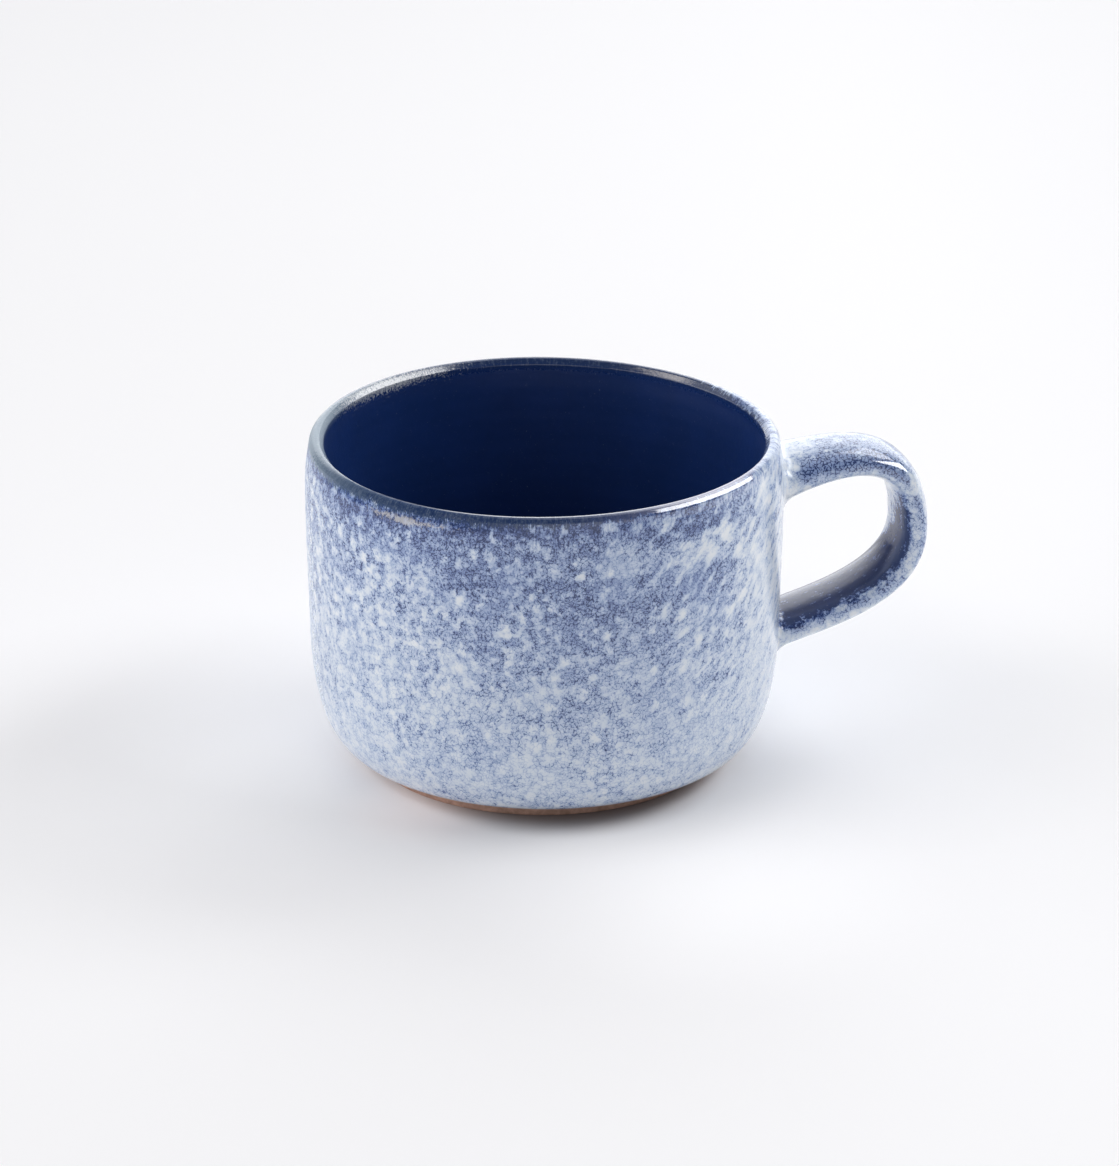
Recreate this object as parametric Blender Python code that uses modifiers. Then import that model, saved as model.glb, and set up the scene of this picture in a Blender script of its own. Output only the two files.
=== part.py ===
"""A low, wide stoneware mug with a one-finger strap handle.

The mug is modelled the way a potter makes it. A clay cup is thrown and its foot turned, and a
clay strap is pulled and luted to the cup with slip at two joints. Glaze then goes over the clay:
a liner inside, a speckled coat outside, the band where those two overlap on the lip, and the
speckled coat round the strap. Every piece is its own closed solid, a hair clear of the next.

Metres, +Z up. The origin is on the cup's axis, in the plane that the foot rests on, and the
handle points along +X.
"""

import math
from collections import namedtuple

import bmesh
import bpy
from mathutils import Vector
from mathutils.geometry import interpolate_bezier

# Outside of the finished cup, over the glaze
HEIGHT = 0.0675
GLAZE_LINE_RADIUS = 0.0376
GLAZE_LINE_Z = 0.0029
CORNER_TOP_RADIUS = 0.0475
CORNER_TOP_Z = 0.0293
CORNER_POWER = 2.28
WIDEST_RADIUS = 0.0480
WIDEST_Z = 0.0570
LIP_RADIUS = 0.0471
LIP_THICKNESS = 0.0030
LIP_Z = HEIGHT - LIP_THICKNESS / 2

# Inside of the finished cup
WALL_THICKNESS = 0.0042
FLOOR_Z = 0.0065
FLOOR_RADIUS = 0.0150
INNER_CORNER_TOP_Z = 0.0290
INNER_CORNER_POWER = 2.2

# Unglazed foot
FOOT_RADIUS = 0.0350
FOOT_TOP_RADIUS = 0.0362
FOOT_CHAMFER = 0.0006

# Glaze and slip
GLAZE = 0.0004
SLIP = 0.0009
GAP = 0.0003
CLAY_DEPTH = GLAZE + GAP
RIM_BAND_Z = 0.0645

# Middle line of the strap: its ends, which are just inside the wall's face, and its outermost
# point. A rise is the angle at which the line leaves the wall, and a pull is how far the line
# keeps going the way it sets out.
UPPER_ROOT = Vector((0.0465, 0, 0.0552))
UPPER_RISE = math.radians(15.5)
UPPER_PULL = 0.0201
OUTERMOST = Vector((0.0761, 0, 0.0427))
OUTERMOST_PULL_UP = 0.0168
OUTERMOST_PULL_DOWN = 0.0152
LOWER_ROOT = Vector((0.0465, 0, 0.0215))
LOWER_RISE = math.radians(25.6)
LOWER_PULL = 0.00685

# Finished section of the strap, and how it swells towards each root
STRAP_WIDTH = 0.0171
STRAP_THICKNESS = 0.00635
STRAP_POWER = 2.35
UPPER_SWELL_WIDTH = 0.0039
UPPER_SWELL_THICKNESS = 0.0028
UPPER_SWELL_SHARE = 0.28
LOWER_SWELL_WIDTH = -0.0007
LOWER_SWELL_THICKNESS = 0.0003
LOWER_SWELL_SHARE = 0.44

# How far the uncut strap runs on past each end of its middle line, and the share of its length
# that is a root
ROOT_DEPTH = 0.0045
ROOT_SHARE = 0.1

# Fineness of the meshes
TURNED_STEPS = 48
CORNER_STEPS = 8
WALL_STEPS = 4
BAND_STEPS = 1
LIP_STEPS = 6
STRAP_STEPS = 11
SECTION_STEPS = 20
MERGE_DISTANCE = 0.00001
SHARP_ANGLE = math.radians(40)

Station = namedtuple("Station", "centre along width thickness share")


# Outlines of the cup, as (radius, height) points


def spaced(low, high, steps):
    return [low + (high - low) * i / steps for i in range(steps + 1)]


def corner(foot, top, power):
    """A superellipse quarter from foot, where it is level, to top, where it is upright."""
    points = []
    for angle in spaced(0, math.pi / 2, CORNER_STEPS):
        out = math.sin(angle) ** (2 / power)
        down = abs(math.cos(angle)) ** (2 / power)
        points.append((foot[0] + (top[0] - foot[0]) * out, top[1] - (top[1] - foot[1]) * down))
    return points


def outer_radius(z):
    """Radius of the wall's outside above the bottom corner: it widens to WIDEST_Z, then closes in."""
    if z < WIDEST_Z:
        share = (z - CORNER_TOP_Z) / (WIDEST_Z - CORNER_TOP_Z)
        return CORNER_TOP_RADIUS + (WIDEST_RADIUS - CORNER_TOP_RADIUS) * math.sin(math.pi / 2 * share)
    share = (z - WIDEST_Z) / (LIP_Z - WIDEST_Z)
    return WIDEST_RADIUS + (LIP_RADIUS - WIDEST_RADIUS) * share**2


def inner_radius(z):
    """Radius of the wall's inside above the bottom corner. The wall thins towards the lip."""
    share = max(0, (z - WIDEST_Z) / (LIP_Z - WIDEST_Z))
    return outer_radius(z) - WALL_THICKNESS - (LIP_THICKNESS - WALL_THICKNESS) * share**2


def outside_outline():
    """Face of the speckled coat, from the glaze line up to the rim band."""
    foot = (GLAZE_LINE_RADIUS, GLAZE_LINE_Z)
    low = corner(foot, (CORNER_TOP_RADIUS, CORNER_TOP_Z), CORNER_POWER)
    heights = spaced(CORNER_TOP_Z, RIM_BAND_Z - GAP / 2, WALL_STEPS)[1:]
    return low + [(outer_radius(z), z) for z in heights]


def rim_outline():
    """Face of the rim band, from outside, over the lip, to inside."""
    heights = spaced(RIM_BAND_Z + GAP / 2, LIP_Z, BAND_STEPS)[:-1]
    round_radius = LIP_THICKNESS / 2
    middle = LIP_RADIUS - round_radius
    lip = []
    for angle in spaced(0, math.pi, LIP_STEPS):
        lip.append((middle + round_radius * math.cos(angle), LIP_Z + round_radius * math.sin(angle)))
    outside = [(outer_radius(z), z) for z in heights]
    inside = [(inner_radius(z), z) for z in reversed(heights)]
    return outside + lip + inside


def inside_outline():
    """Face of the liner, from the rim band down to the middle of the floor."""
    heights = spaced(RIM_BAND_Z - GAP / 2, INNER_CORNER_TOP_Z, WALL_STEPS)[:-1]
    corner_top = (inner_radius(INNER_CORNER_TOP_Z), INNER_CORNER_TOP_Z)
    low = corner((FLOOR_RADIUS, FLOOR_Z), corner_top, INNER_CORNER_POWER)
    return [(inner_radius(z), z) for z in heights] + low[::-1] + [(0, FLOOR_Z)]


def sunk(outline, depth):
    """The outline moved by depth to the left of the way it runs, which is into the clay."""
    points = []
    for i, (r, z) in enumerate(outline):
        before = Vector(outline[max(i - 1, 0)])
        after = Vector(outline[min(i + 1, len(outline) - 1)])
        run = (after - before).normalized()
        points.append((r - run.y * depth, z + run.x * depth))
    return points


def clay_outline():
    """The cup's clay: from the middle of its floor, over its lip, to the middle of its foot."""
    face = sunk(outside_outline() + rim_outline() + inside_outline(), CLAY_DEPTH)
    foot = [
        (FOOT_TOP_RADIUS, GLAZE_LINE_Z),
        (FOOT_RADIUS, FOOT_CHAMFER),
        (FOOT_RADIUS - FOOT_CHAMFER, 0),
        (0, 0),
    ]
    return face[::-1] + foot


def coat_outline(face):
    """A glaze coat, from its face to its back on the clay."""
    return face[::-1] + sunk(face, GLAZE)


def wall_outline(clearance):
    """A full round of the cup's outside, standing clear of its finished face by clearance."""
    side = sunk(outside_outline() + [(LIP_RADIUS, LIP_Z)], -clearance)
    return [(0, LIP_Z)] + side[::-1] + [(0, side[0][1])]


# The strap


def swell(share, reach):
    """1 at a root, falling to 0 at reach along the strap."""
    return max(0, 1 - share / reach) ** 2


def leaving(root, rise, pull):
    """The point that pulls the middle line out of the wall at a root."""
    return root + pull * Vector((math.cos(rise), 0, math.sin(rise)))


def middle_line():
    """Points along the middle of the strap, from the upper root to the lower."""
    up = Vector((0, 0, OUTERMOST_PULL_UP))
    down = Vector((0, 0, OUTERMOST_PULL_DOWN))
    upper_pull = leaving(UPPER_ROOT, UPPER_RISE, UPPER_PULL)
    lower_pull = leaving(LOWER_ROOT, LOWER_RISE, LOWER_PULL)
    above = interpolate_bezier(UPPER_ROOT, upper_pull, OUTERMOST + up, OUTERMOST, STRAP_STEPS)
    below = interpolate_bezier(OUTERMOST, OUTERMOST - down, lower_pull, LOWER_ROOT, STRAP_STEPS)
    return above + below[1:]


def strap_stations(root_depth):
    """The strap's sections along its middle line, run on at both ends by root_depth."""
    line = middle_line()
    lengths = [0]
    for a, b in zip(line, line[1:]):
        lengths.append(lengths[-1] + (b - a).length)
    stations = []
    for i, centre in enumerate(line):
        share = lengths[i] / lengths[-1]
        upper = swell(share, UPPER_SWELL_SHARE)
        lower = swell(1 - share, LOWER_SWELL_SHARE)
        along = (line[min(i + 1, len(line) - 1)] - line[max(i - 1, 0)]).normalized()
        width = STRAP_WIDTH + UPPER_SWELL_WIDTH * upper + LOWER_SWELL_WIDTH * lower
        thickness = STRAP_THICKNESS + UPPER_SWELL_THICKNESS * upper + LOWER_SWELL_THICKNESS * lower
        stations.append(Station(centre, along, width, thickness, share))
    first, last = stations[0], stations[-1]
    start = first._replace(centre=first.centre - root_depth * first.along)
    end = last._replace(centre=last.centre + root_depth * last.along)
    return [start] + stations + [end]


def section(station, depth):
    """A superellipse across the strap, sunk by depth below its finished face."""
    outward = Vector((-station.along.z, 0, station.along.x))
    across = Vector((0, 1, 0))
    points = []
    for i in range(SECTION_STEPS):
        angle = 2 * math.pi * i / SECTION_STEPS
        c, s = math.cos(angle), math.sin(angle)
        wide = math.copysign(abs(c) ** (2 / STRAP_POWER), c) * (station.width / 2 - depth)
        high = math.copysign(abs(s) ** (2 / STRAP_POWER), s) * (station.thickness / 2 - depth)
        points.append(station.centre + wide * across + high * outward)
    return points


def loft(name, stations, depth):
    """A closed mesh through the sections at the stations."""
    bm = bmesh.new()
    rings = [[bm.verts.new(point) for point in section(station, depth)] for station in stations]
    for ring, following in zip(rings, rings[1:]):
        for i in range(SECTION_STEPS):
            j = (i + 1) % SECTION_STEPS
            bm.faces.new((ring[i], ring[j], following[j], following[i]))
    bm.faces.new(rings[0])
    bm.faces.new(rings[-1])
    bmesh.ops.recalc_face_normals(bm, faces=bm.faces)
    mesh = bpy.data.meshes.new(name)
    bm.to_mesh(mesh)
    bm.free()
    mesh.shade_smooth()
    mesh.set_sharp_from_angle(angle=SHARP_ANGLE)
    return mesh


# Objects


def collection(name):
    made = bpy.data.collections.new(name)
    bpy.context.scene.collection.children.link(made)
    return made


def material(name, colour, roughness):
    made = bpy.data.materials.new(name)
    made.use_nodes = True
    shader = made.node_tree.nodes["Principled BSDF"]
    shader.inputs["Base Color"].default_value = (*colour, 1)
    shader.inputs["Roughness"].default_value = roughness
    shader.inputs["Metallic"].default_value = 0
    return made


def turned_mesh(name, outline, closed):
    """The outline as a chain of edges in the XZ plane, for a Screw modifier to turn."""
    ends = list(range(1, len(outline))) + ([0] if closed else [])
    mesh = bpy.data.meshes.new(name)
    mesh.from_pydata([(r, 0, z) for r, z in outline], list(enumerate(ends)), [])
    return mesh


def turn(obj):
    screw = obj.modifiers.new("Turn", "SCREW")
    screw.steps = TURNED_STEPS
    screw.render_steps = TURNED_STEPS
    screw.use_smooth_shade = True
    screw.use_merge_vertices = True
    screw.merge_threshold = MERGE_DISTANCE


def shape(obj, operation, other):
    boolean = obj.modifiers.new(f"{operation.title()} {other.name}", "BOOLEAN")
    boolean.operation = operation
    boolean.object = other
    boolean.solver = "EXACT"


def add(mesh, group):
    obj = bpy.data.objects.new(mesh.name, mesh)
    group.objects.link(obj)
    return obj


def add_cutter(mesh, group):
    obj = add(mesh, group)
    obj.hide_render = True
    obj.display_type = "WIRE"
    return obj


def add_wall_cutter(name, clearance, group):
    obj = add_cutter(turned_mesh(name, wall_outline(clearance), False), group)
    turn(obj)
    return obj


def build_cup(parts, clay):
    cup = add(turned_mesh("cup_body", clay_outline(), False), parts)
    cup.data.materials.append(clay)
    turn(cup)


def build_cup_glaze(parts, windows, liner, speckled, band):
    """The three coats on the cup. The outside coat stops round each end of the strap."""
    inside = add(turned_mesh("liner_glaze", coat_outline(inside_outline()), False), parts)
    inside.data.materials.append(liner)
    turn(inside)
    rim = add(turned_mesh("rim_glaze", coat_outline(rim_outline()), True), parts)
    rim.data.materials.append(band)
    turn(rim)
    outside = add(turned_mesh("outer_glaze", coat_outline(outside_outline()), True), parts)
    outside.data.materials.append(speckled)
    turn(outside)
    for window in windows:
        shape(outside, "DIFFERENCE", window)


def build_handle(parts, cutters, clay):
    strap = add(loft("handle", strap_stations(ROOT_DEPTH), CLAY_DEPTH), parts)
    strap.data.materials.append(clay)
    end_face = add_wall_cutter("strap_end_face", SLIP + GAP - GLAZE, cutters)
    shape(strap, "DIFFERENCE", end_face)


def build_handle_glaze(parts, cutters, speckled):
    sleeve = add(loft("handle_glaze", strap_stations(ROOT_DEPTH), 0), parts)
    sleeve.data.materials.append(speckled)
    bore = add_cutter(loft("sleeve_bore", strap_stations(2 * ROOT_DEPTH), GLAZE), cutters)
    shape(sleeve, "DIFFERENCE", bore)
    shape(sleeve, "DIFFERENCE", add_wall_cutter("sleeve_end_face", GAP, cutters))


def build_slip_joints(parts, cutters, roots, slip):
    """A pad of slip between the cup's wall and each end of the strap."""
    wall_side = add_wall_cutter("slip_wall_side", -GLAZE, cutters)
    strap_side = add_wall_cutter("slip_strap_side", SLIP - GLAZE, cutters)
    for name, stations in roots.items():
        pad = add(loft(f"{name}_slip_joint", stations, CLAY_DEPTH), parts)
        pad.data.materials.append(slip)
        shape(pad, "DIFFERENCE", wall_side)
        shape(pad, "INTERSECT", strap_side)


def main():
    for obj in list(bpy.data.objects):
        bpy.data.objects.remove(obj)
    parts = collection("stoneware_mug")
    cutters = collection("cutters")
    clay = material("fired_clay", (0.30, 0.165, 0.12), 0.85)
    slip = material("fired_slip", (0.34, 0.20, 0.15), 0.85)
    speckled = material("speckled_blue_glaze", (0.42, 0.52, 0.70), 0.2)
    liner = material("cobalt_liner_glaze", (0.006, 0.02, 0.10), 0.35)
    band = material("rim_band_glaze", (0.07, 0.14, 0.24), 0.25)

    stations = strap_stations(ROOT_DEPTH)
    roots = {
        "upper": [s for s in stations if s.share < ROOT_SHARE],
        "lower": [s for s in stations if s.share > 1 - ROOT_SHARE],
    }
    windows = [
        add_cutter(loft(f"{name}_window", root, GLAZE), cutters) for name, root in roots.items()
    ]
    build_cup(parts, clay)
    build_cup_glaze(parts, windows, liner, speckled, band)
    build_handle(parts, cutters, clay)
    build_handle_glaze(parts, cutters, speckled)
    build_slip_joints(parts, cutters, roots, slip)

    mug = bpy.data.objects.new("mug", None)
    for obj in list(parts.objects):
        obj.parent = mug
    parts.objects.link(mug)


main()
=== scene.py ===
"""Finished look of the stoneware mug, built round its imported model.

Finer meshes, uneven as a thrown pot is, stand for the model's clay cup and its four glaze coats, and
the strap's speckled coat runs out into fillets on the cup's wall. The clay strap and the two slip
joints are the model's own. All materials are procedural. Metres, +Z up, the cup's axis on Z and the
handle towards +X. A turn is in degrees round the cup from the camera's right: 90 is behind the cup,
and -90 faces the camera.
"""
import math

import bmesh
import bpy
import numpy as np
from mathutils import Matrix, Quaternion, Vector


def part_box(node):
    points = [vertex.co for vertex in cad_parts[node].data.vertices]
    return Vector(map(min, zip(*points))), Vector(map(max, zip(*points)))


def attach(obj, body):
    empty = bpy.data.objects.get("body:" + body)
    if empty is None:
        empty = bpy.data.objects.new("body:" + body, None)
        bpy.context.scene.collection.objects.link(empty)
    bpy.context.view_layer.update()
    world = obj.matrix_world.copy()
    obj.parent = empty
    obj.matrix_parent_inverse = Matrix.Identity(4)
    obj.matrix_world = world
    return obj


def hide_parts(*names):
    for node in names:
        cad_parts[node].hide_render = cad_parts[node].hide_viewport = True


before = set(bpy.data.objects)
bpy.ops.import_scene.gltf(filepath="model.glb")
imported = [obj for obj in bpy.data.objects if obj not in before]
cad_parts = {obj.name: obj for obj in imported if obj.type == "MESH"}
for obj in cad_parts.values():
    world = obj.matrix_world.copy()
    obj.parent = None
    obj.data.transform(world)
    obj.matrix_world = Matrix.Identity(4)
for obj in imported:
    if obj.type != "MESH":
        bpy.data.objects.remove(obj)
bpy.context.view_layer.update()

MM = 0.001

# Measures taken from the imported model
CUP_LOW, CUP_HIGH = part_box("outer_glaze")
RIM_LOW, RIM_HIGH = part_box("rim_glaze")
LINER_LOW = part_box("liner_glaze")[0]
HEIGHT = RIM_HIGH.z
WIDEST_RADIUS = CUP_HIGH.y
LIP_RADIUS = RIM_HIGH.y - 0.25 * MM
GLAZE_LINE_Z = CUP_LOW.z + 0.15 * MM
RIM_BAND_Z = (CUP_HIGH.z + RIM_LOW.z) / 2

# Shape of the cup
GLAZE = 0.4 * MM
CLAY_GAP = 0.02 * MM
LIP_THICKNESS = 3.0 * MM
LIP_Z = HEIGHT - LIP_THICKNESS / 2
WIDEST_Z = 57.0 * MM
CORNER_TOP_RADIUS = WIDEST_RADIUS - 0.5 * MM
CORNER_TOP_Z = 29.3 * MM
CORNER_POWER = 2.28
GLAZE_LINE_RADIUS = 37.9 * MM
WALL_THICKNESS = 4.2 * MM
FLOOR_Z = LINER_LOW.z + GLAZE
FLOOR_RADIUS = 15.0 * MM
INNER_CORNER_TOP_Z = 29.0 * MM
INNER_CORNER_POWER = 2.2
FOOT_RADIUS = 35.9 * MM
FOOT_TOP_RADIUS = 36.8 * MM
FOOT_FLARE_POWER = 0.7
FOOT_CHAMFER = 0.6 * MM
TURNING_RING_DEPTH = 0.05 * MM
TURNING_RING_PITCH = 4.1
SHARP_ANGLE = math.radians(50)

# Unevenness of hand work. A lobe is its size in mm, its number round the cup and its phase. A ridge
# is its size in mm, radians for each mm of height, its number round the cup and its phase.
LOBES = ((0.10, 2, 0.9), (0.06, 3, 2.2), (0.03, 5, 0.0))
RIDGES = ((0.015, 1.9, 1, 0.0), (0.010, 0.83, -2, 1.0))
LOBES_AT_FOOT = 0.3
RIDGES_START_Z = 12 * MM
FOOT_OFF_CENTRE = 0.4
FOOT_OFF_CENTRE_Z = (1.0 * MM, 3.0 * MM)
RIM_RISE = 0.27 * MM
RIM_RISE_TURN = math.radians(12.3)
RIM_RISE_STARTS_Z = 0.55 * HEIGHT
TRUE_RADIUS = 20 * MM
TURNED_STEPS = 360

# Half the way round the lip, from its outside to its inside, in mm
HALF_LIP = (LIP_Z - RIM_BAND_Z + math.pi / 2 * LIP_THICKNESS / 2) / MM

# Two flats worn on the lip: where they are, from outside over the crest to inside, and their reach
LIP_BEVELS = ((math.radians(42), math.radians(16)), (math.radians(139), math.radians(24)))

# Marks on the lip: the turn at a mark's middle, how far it reaches round, and its amount
BLEED_BASE = -2.5
BLEED_MARKS = ((10, 50, 4.2), (-60, 22, 0.5))
WEAR_MARKS = ((176, 34, 0.85), (-115, 40, 0.06))
HAZE_MARKS = ((-42, 26, 1.0),)
GLOSS_MARKS = ((-46, 24, 1.0), (-132, 30, -1.0))
# The next mark puts a painted highlight in cream along the lip's crest at the front
CREST_HIGHLIGHT_MARKS = ((-92, 34, 0.42),)
# The next mark puts a painted glare in silver just inside the lip at the back left
PAINTED_GLARE_MARKS = ((138, 24, 1.0),)
SAND_MARKS = ((-125, 14, 1.0),)

# How much the dark specks crowd together, in marks as above and in blotches. A blotch is a turn, a
# height in mm, how far it reaches round in degrees and up in mm, and its amount.
CROWD_AT_LIP = 0.10
CROWD_AT_FOOT = -0.03
CROWD_MARKS = ((-88, 36, 0.05), (-8, 34, -0.07), (-168, 24, -0.05))
CROWD_MARKS_UNDER_LIP = ((5, 34, -0.12),)
BLOTCHES = (
    (-108, 56, 16, 7, 0.08),
    (-84, 46, 22, 16, 0.06),
    (-136, 61.5, 20, 3, 0.16),
    (-50, 62.4, 17, 1.6, 0.26),
    (-104, 33, 24, 9, -0.02),
    (-128, 42, 14, 9, -0.06),
    (-150, 51, 14, 11, 0.05),
    (-52, 42, 16, 9, 0.06),
    (-56, 27, 24, 9, 0.07),
    (-75, 9, 40, 6, -0.07),
    (-88, 23, 24, 8, 0.03),
    (-24, 45, 13, 18, -0.17),
    (-166, 52, 12, 12, 0.06),
    (-50, 58.5, 9, 3, -0.16),
    (-49, 52, 12, 4, 0.12),
)

# Where the spots lean and are drawn out: their slope, their stretch, and the turns and heights
# between which the lean comes and goes
SLANT = math.radians(36)
SLANT_STRETCH = 1.7
SLANT_ORIGIN_TURN = -45
SLANT_COMES = (-78, -62)
SLANT_GOES = (0, 20)
SLANT_RISES = (14, 24)

# Middle line and section of the strap. A swell is how much wider and thicker a root is, and the
# share of the strap's length that it reaches.
UPPER_ROOT = np.array((46.5, 55.2)) * MM
UPPER_RISE = math.radians(15.5)
UPPER_PULL = 20.1 * MM
OUTERMOST = np.array((76.1, 42.7)) * MM
OUTERMOST_PULL_UP = 16.8 * MM
OUTERMOST_PULL_DOWN = 15.2 * MM
LOWER_ROOT = np.array((46.5, 21.5)) * MM
LOWER_RISE = math.radians(25.6)
LOWER_PULL = 6.85 * MM
RUN_ON = 6 * MM
STRAP_WIDTH = 17.1 * MM
STRAP_THICKNESS = 6.35 * MM
STRAP_POWER = 2.35
UPPER_SWELL = (3.9 * MM, 2.8 * MM, 0.28)
LOWER_SWELL = (-0.7 * MM, 0.3 * MM, 0.44)
FILLET = 2.4 * MM
FILLET_SPREAD = 1.15 * FILLET
FILLET_TAIL = 0.3 * MM
TAIL_DEPTH = 0.12 * MM
BACK_DEPTH = 0.3 * MM
LINE_STEPS = 400
RUN_ON_STEPS = 40
STRAP_STEPS = 150
SECTION_STEPS = 96
FILLET_STEPS = 14

# Glaze on the strap. An angle round its section is in half turns: 0 and 2 are its far edge, 0.5 its
# outer face, 1 its near edge and 1.5 its inner face. A mark is an angle, its reach in radians, its
# amount, and the shares of the strap's length between which it comes and between which it goes.
STRAP_CROWD_BASE = -0.08
STRAP_CROWD_MARKS = (
    (0.86, 0.62, 0.62, (-0.02, 0.03), (0.22, 0.36)),
    (0.98, 0.30, 0.36, (0.20, 0.28), (0.36, 0.52)),
    (1.22, 0.28, 0.52, (0.34, 0.42), (0.56, 0.66)),
    (0.46, 0.75, 0.34, (0.0, 0.08), (0.40, 0.62)),
    (1.06, 0.30, 0.32, (0.58, 0.72), (1.0, 1.1)),
    (0.90, 0.45, 0.30, (0.38, 0.46), (0.60, 0.80)),
)
ROOT_CALM = 0.16
SHELTER_NEAR_EDGE = (0.98, 1.32)
SHELTER_FAR_EDGE = 1.38
SHELTER_FAR_EDGE_LOW_DOWN = 1.76
SHELTER_WIDENS = (0.50, 0.72)
SHELTER_SOFTNESS = 0.22
SHELTER_COMES = (0.34, 0.56)
STRAP_GLOSS_SHARE, STRAP_GLOSS_LENGTH = 0.26, 0.12
STRAP_GLOSS_ANGLE, STRAP_GLOSS_REACH = 0.8, 0.8
STRAP_LENGTH = 75 * MM
STREAK_STRETCH = 5.0
FAR_BELOW_LIP = -30

# Camera: how far it is turned, how high it stands in degrees and how far it is from the cup. Its
# focal length and its shift are shares of the frame's longer side.
VIEW_TURN = math.radians(-12.3)
VIEW_RISE = 22.4
VIEW_DISTANCE = 1.0
FOCAL_SHARE = 4.23345
VIEW_SHIFT = (0.012864, 0.006089)
SENSOR = 36.0

# Lights. A softbox is its azimuth and elevation in degrees, its size, radiance, colour and roll.
WHITE = (1.0, 1.0, 1.0)
WARM_WHITE = (1.0, 0.93, 0.86)
SOFTBOX_DISTANCE = 1.6
SOFTBOXES = {
    "key_softbox": (10, 38.5, (1.5, 0.50), 6.8, WHITE, -35),
    "back_softbox": (55, 46, (0.9, 0.6), 2.5, WHITE, 0),
    "left_softbox": (200, 47, (1.1, 0.30), 5.0, WARM_WHITE, 0),
}

# Room. A glow is its azimuth and elevation in degrees, how far it spreads in degrees, and its strength.
BACKDROP = (0.905, 0.905, 0.935)
ROOM_TINT = (0.97, 0.98, 1.0)
ROOM_LIGHT = 0.03
ROOM_GLOWS = (
    (60, 65, 35, 0.5),
    (90, 35, 60, 0.33),
    (180, 6, 45, 2.7),
    (90, 6, 45, 2.2),
    (-90, 6, 45, 1.0),
)

# Floor. It is 12 m wide. Its places and reaches are in mm.
FLOOR_SIZE = 12
FLOOR_TINTS = ((0.775, 0.775, 0.79), (0.785, 0.785, 0.80))
GLOW_TINT = (0.97, 0.97, 1.0)
FLOOR_GLOW = 0.132
FLOOR_GLOW_FADES = (60.0, 220.0)
FADED_SHARE = 0.35
FAR_FLOOR_GLOW = 0.55
FAR_FLOOR = (700.0, 2500.0)
# The floor's glow is painted light. It is less round a point under the cup, a painted shadow of the cup
UNDER_CUP_SHADOW = (4.0, -9.0, 0.0)
UNDER_CUP_SHADOW_EDGE = (34.0, 56.0)
UNDER_CUP_SHADOW_SHARE = 0.3
# A painted contact shadow near the foot at the front right: its turn, how far out its middle lies, its edge in
# mm, its darkest share and its colour
CONTACT_SHADOW_TURN = -75
CONTACT_SHADOW_OUT = 14.0
CONTACT_SHADOW_EDGE = (21.0, 34.0)
CONTACT_SHADOW_SHARE = 0.14
CONTACT_SHADOW_TINT = (0.14, 0.09, 0.08)
# Light that the mug sheds on the floor: azimuth, distance and reach, strength and colour
FLOOR_BOUNCES = (
    (200, 62, 60, 0.11, WHITE),
    (-66, 74, 56, 0.085, WHITE),
    (-126, 42, 20, 0.09, (1.0, 0.62, 0.48)),
)

# Colours of the glaze, from its beads to its specks, then those of the lip, the inside and the clay
CREAM = (0.79, 0.82, 0.86)
PALE = (0.62, 0.69, 0.79)
MIST = (0.42, 0.51, 0.69)
PERIWINKLE = (0.240, 0.325, 0.545)
INDIGO = (0.095, 0.145, 0.35)
INK = (0.022, 0.040, 0.125)
GLAZE_COLOURS = ((0.0, CREAM), (0.20, PALE), (0.40, MIST), (0.60, PERIWINKLE), (0.80, INDIGO), (1.0, INK))
NAVY = (0.018, 0.038, 0.110)
TEAL = (0.25, 0.34, 0.42)
LAVENDER = (0.17, 0.18, 0.31)
# Colour of the painted glare just inside the lip
GLARE_SILVER = (0.60, 0.63, 0.66)
SAND = (0.64, 0.63, 0.62)
COBALT = (0.0055, 0.027, 0.130)
BRIGHT_COBALT = (0.008, 0.036, 0.18)
COBALT_FLECK = (0.06, 0.11, 0.25)
CLAY = (0.58, 0.355, 0.27)
SLIP = (0.40, 0.25, 0.19)
GRIT = (0.10, 0.06, 0.045)

# Grain of the glaze, in cells or waves to the millimetre
BEAD_GRAIN = 0.36
ISLAND_GRAIN = 0.58
NET_GRAIN = 1.15
FINE_NET_GRAIN = 2.3
DOT_GRAIN = 2.9


# Curves and surfaces


def smoothstep(low, high, x):
    """0 at low, 1 at high, and smooth between them. low may be the higher of the two."""
    t = np.clip((x - low) / (high - low), 0, 1)
    return t * t * (3 - 2 * t)


def bump_at(x, middle, reach):
    """1 at the middle, falling off smoothly over the reach."""
    return np.exp(-(((x - middle) / reach) ** 2))


def corner(foot, top, power, steps):
    """A superellipse quarter from foot, where it is level, to top, where it is upright."""
    angle = np.linspace(0, math.pi / 2, steps)
    out = np.sin(angle) ** (2 / power)
    down = np.abs(np.cos(angle)) ** (2 / power)
    return np.stack([foot[0] + (top[0] - foot[0]) * out, top[1] - (top[1] - foot[1]) * down], 1)


def outer_radius(z):
    """Radius of the cup's outside at a height, from the glaze line to the lip."""
    low = np.clip((CORNER_TOP_Z - z) / (CORNER_TOP_Z - GLAZE_LINE_Z), 0, 1)
    corner_out = (1 - low**CORNER_POWER) ** (1 / CORNER_POWER)
    radius = GLAZE_LINE_RADIUS + (CORNER_TOP_RADIUS - GLAZE_LINE_RADIUS) * corner_out
    widening = np.clip((z - CORNER_TOP_Z) / (WIDEST_Z - CORNER_TOP_Z), 0, 1)
    radius = radius + (WIDEST_RADIUS - CORNER_TOP_RADIUS) * np.sin(math.pi / 2 * widening)
    closing = np.clip((z - WIDEST_Z) / (LIP_Z - WIDEST_Z), 0, None)
    return radius + (LIP_RADIUS - WIDEST_RADIUS) * closing**2


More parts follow.
